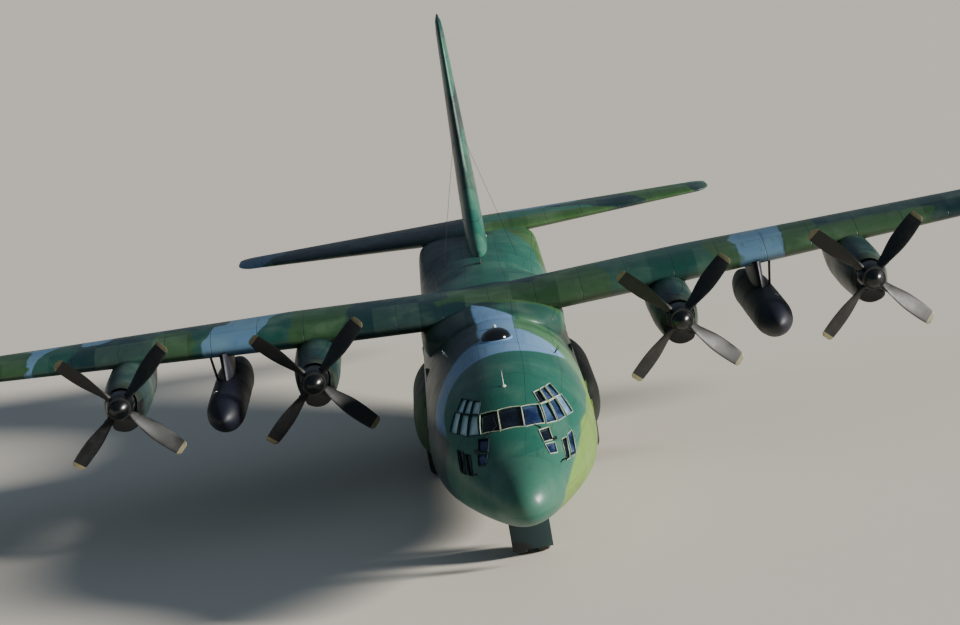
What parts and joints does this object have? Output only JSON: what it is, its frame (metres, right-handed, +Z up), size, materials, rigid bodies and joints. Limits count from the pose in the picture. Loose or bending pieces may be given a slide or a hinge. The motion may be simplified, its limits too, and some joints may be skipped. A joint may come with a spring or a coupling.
{
  "type": "military transport plane, 1:2 scale model",
  "caption": "Half-size model of a high-wing turboprop military transport aircraft with hollow hold, rear ramp, turning propellers and moving tail and wing surfaces.",
  "frame": {"origin": "on the floor, midway along the length and the span", "axes": "+Z up, +X towards the left wing tip, -Y towards the nose"},
  "size_m": [20.205, 14.895, 5.83],
  "materials": {
    "skin": "matt green, olive and blue-grey camouflage paint on aluminium",
    "radome": "matt dark green paint on glass-fibre",
    "floor": "worn grey",
    "cockpit": "matt dark grey-green",
    "seat": "woven",
    "glazing": "clear, tinted",
    "engine": "bare",
    "propeller": "satin near-black",
    "tank": "satin near-black",
    "gear_metal": "gloss light grey",
    "tyre": "matt rubber"
  },
  "bodies": {
    "airframe": {"fuselage_forward": "skin", "fuselage_centre": "skin", "fuselage_aft": "skin", "tail_cone": "skin", "paratroop_door_left": "skin", "paratroop_door_right": "skin", "wing_centre": "skin", "wing_fairing": "skin", "fin": "skin", "tailplane": "skin", "wing_outer_left": "skin", "flap_inner_left": "skin", "flap_outer_left": "skin", "gear_sponson_left": "skin", "main_gear_door_left": "skin", "wing_outer_right": "skin", "flap_inner_right": "skin", "flap_outer_right": "skin", "gear_sponson_right": "skin", "main_gear_door_right": "skin", "nacelle_1": "skin", "nacelle_2": "skin", "nacelle_3": "skin", "nacelle_4": "skin", "nose_gear_door_front": "skin", "nose_gear_door_rear": "skin", "radome": "radome", "cargo_floor": "floor", "flight_deck": "cockpit", "pilot_seat_left": "seat", "pilot_seat_right": "seat", "flight_deck_glazing": "glazing", "engine_1": "engine", "engine_2": "engine", "engine_3": "engine", "engine_4": "engine", "fuel_tank_left": "tank", "fuel_tank_right": "tank", "main_gear_legs_left": "gear_metal", "main_gear_legs_right": "gear_metal", "nose_gear_leg": "gear_metal"},
    "propeller_1": {"propeller_1": "propeller"},
    "propeller_2": {"propeller_2": "propeller"},
    "propeller_3": {"propeller_3": "propeller"},
    "propeller_4": {"propeller_4": "propeller"},
    "nose_fork": {"nose_gear_fork": "gear_metal"},
    "nose_wheels": {"nose_wheels": "tyre"},
    "crew_door": {"crew_door": "skin"},
    "cargo_ramp": {"cargo_ramp": "floor"},
    "cargo_door": {"cargo_door": "skin"},
    "rudder": {"rudder": "skin"},
    "elevator_left": {"elevator_left": "skin"},
    "aileron_left": {"aileron_left": "skin"},
    "main_wheel_front_left": {"main_wheel_front_left": "tyre"},
    "main_wheel_rear_left": {"main_wheel_rear_left": "tyre"},
    "elevator_right": {"elevator_right": "skin"},
    "aileron_right": {"aileron_right": "skin"},
    "main_wheel_front_right": {"main_wheel_front_right": "tyre"},
    "main_wheel_rear_right": {"main_wheel_rear_right": "tyre"}
  },
  "joints": [
    {"name": "propeller_1_spin", "type": "hinge", "parent": "airframe", "child": "propeller_1", "pos_m": [5.08, -2.6375, 2.1168], "axis": [0, 1, 0], "continuous": true},
    {"name": "propeller_2_spin", "type": "hinge", "parent": "airframe", "child": "propeller_2", "pos_m": [2.475, -2.6375, 2.0031], "axis": [0, 1, 0], "continuous": true},
    {"name": "propeller_3_spin", "type": "hinge", "parent": "airframe", "child": "propeller_3", "pos_m": [-2.475, -2.6375, 2.0031], "axis": [0, 1, 0], "continuous": true},
    {"name": "propeller_4_spin", "type": "hinge", "parent": "airframe", "child": "propeller_4", "pos_m": [-5.08, -2.6375, 2.1168], "axis": [0, 1, 0], "continuous": true},
    {"name": "main_wheel_front_left_roll", "type": "hinge", "parent": "airframe", "child": "main_wheel_front_left", "pos_m": [1.0875, -0.8425, 0.355], "axis": [1, 0, 0], "continuous": true},
    {"name": "main_wheel_rear_left_roll", "type": "hinge", "parent": "airframe", "child": "main_wheel_rear_left", "pos_m": [1.0875, -0.0825, 0.355], "axis": [1, 0, 0], "continuous": true},
    {"name": "main_wheel_front_right_roll", "type": "hinge", "parent": "airframe", "child": "main_wheel_front_right", "pos_m": [-1.0875, -0.8425, 0.355], "axis": [1, 0, 0], "continuous": true},
    {"name": "main_wheel_rear_right_roll", "type": "hinge", "parent": "airframe", "child": "main_wheel_rear_right", "pos_m": [-1.0875, -0.0825, 0.355], "axis": [1, 0, 0], "continuous": true},
    {"name": "nose_steering", "type": "hinge", "parent": "airframe", "child": "nose_fork", "pos_m": [0, -5.3475, 0.45], "axis": [0, 0, 1], "range_deg": [-60, 60]},
    {"name": "nose_wheels_roll", "type": "hinge", "parent": "nose_fork", "child": "nose_wheels", "pos_m": [0, -5.3475, 0.2475], "axis": [1, 0, 0], "continuous": true},
    {"name": "crew_door_hinge", "type": "hinge", "parent": "airframe", "child": "crew_door", "pos_m": [0.778, -4.7725, 0.6575], "axis": [0.1913, 0.9815, 0], "range_deg": [0, 108]},
    {"name": "cargo_ramp_hinge", "type": "hinge", "parent": "airframe", "child": "cargo_ramp", "pos_m": [0, 1.9875, 0.4], "axis": [-1, 0, 0], "range_deg": [0, 27]},
    {"name": "cargo_door_hinge", "type": "hinge", "parent": "airframe", "child": "cargo_door", "pos_m": [0, 5.0625, 1.485], "axis": [-1, 0, 0], "range_deg": [0, 28]},
    {"name": "rudder_hinge", "type": "hinge", "parent": "airframe", "child": "rudder", "pos_m": [0, 6.4125, 4], "axis": [0, 0, 1], "range_deg": [-35, 35]},
    {"name": "elevator_left_hinge", "type": "hinge", "parent": "airframe", "child": "elevator_left", "pos_m": [2, 6.5525, 2.25], "axis": [1, 0, 0], "range_deg": [-15, 40]},
    {"name": "elevator_right_hinge", "type": "hinge", "parent": "airframe", "child": "elevator_right", "pos_m": [-2, 6.5525, 2.25], "axis": [1, 0, 0], "range_deg": [-15, 40]},
    {"name": "aileron_left_hinge", "type": "hinge", "parent": "airframe", "child": "aileron_left", "pos_m": [7.88, 0.02623, 2.53807], "axis": [0.9951, -0.0853, 0.0498], "range_deg": [-20, 20]},
    {"name": "aileron_right_hinge", "type": "hinge", "parent": "airframe", "child": "aileron_right", "pos_m": [-7.88, 0.02623, 2.53807], "axis": [0.9951, 0.0853, -0.0498], "range_deg": [-20, 20]}
  ],
  "couplings": [
    {"joint": "elevator_right_hinge", "follows": "elevator_left_hinge", "ratio": 1},
    {"joint": "aileron_right_hinge", "follows": "aileron_left_hinge", "ratio": -1}
  ]
}
